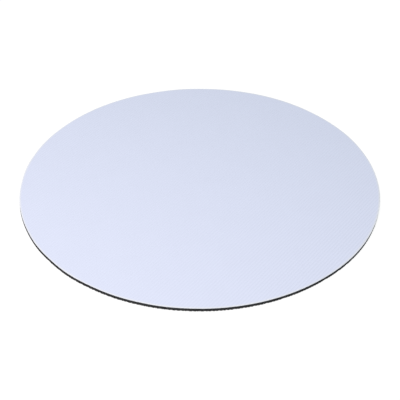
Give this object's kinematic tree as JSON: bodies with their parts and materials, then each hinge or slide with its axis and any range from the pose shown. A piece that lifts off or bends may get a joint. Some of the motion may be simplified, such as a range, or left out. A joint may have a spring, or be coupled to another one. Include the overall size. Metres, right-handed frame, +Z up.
{
  "type": "mouse pad",
  "caption": "Flat round mouse pad: a plain woven cloth face, bonded by a thin film to a black sponge rubber base that grips the desk.",
  "frame": {"origin": "middle of the underside, where the pad lies on the desk", "axes": "+Z up, out of the cloth face and along the disc's axis; X and Y lie in the underside"},
  "size_m": [0.2, 0.2, 0.002],
  "materials": {
    "sponge_rubber": "charcoal black, matt, with a fine-celled cut edge",
    "hot_melt_film": "clear, dark grey over the black rubber, smooth",
    "woven_polyester": "cool white, matt, fine close weave"
  },
  "bodies": {
    "root": {"rubber_base": "sponge_rubber", "bond_film": "hot_melt_film", "cloth_face": "woven_polyester"}
  },
  "joints": []
}
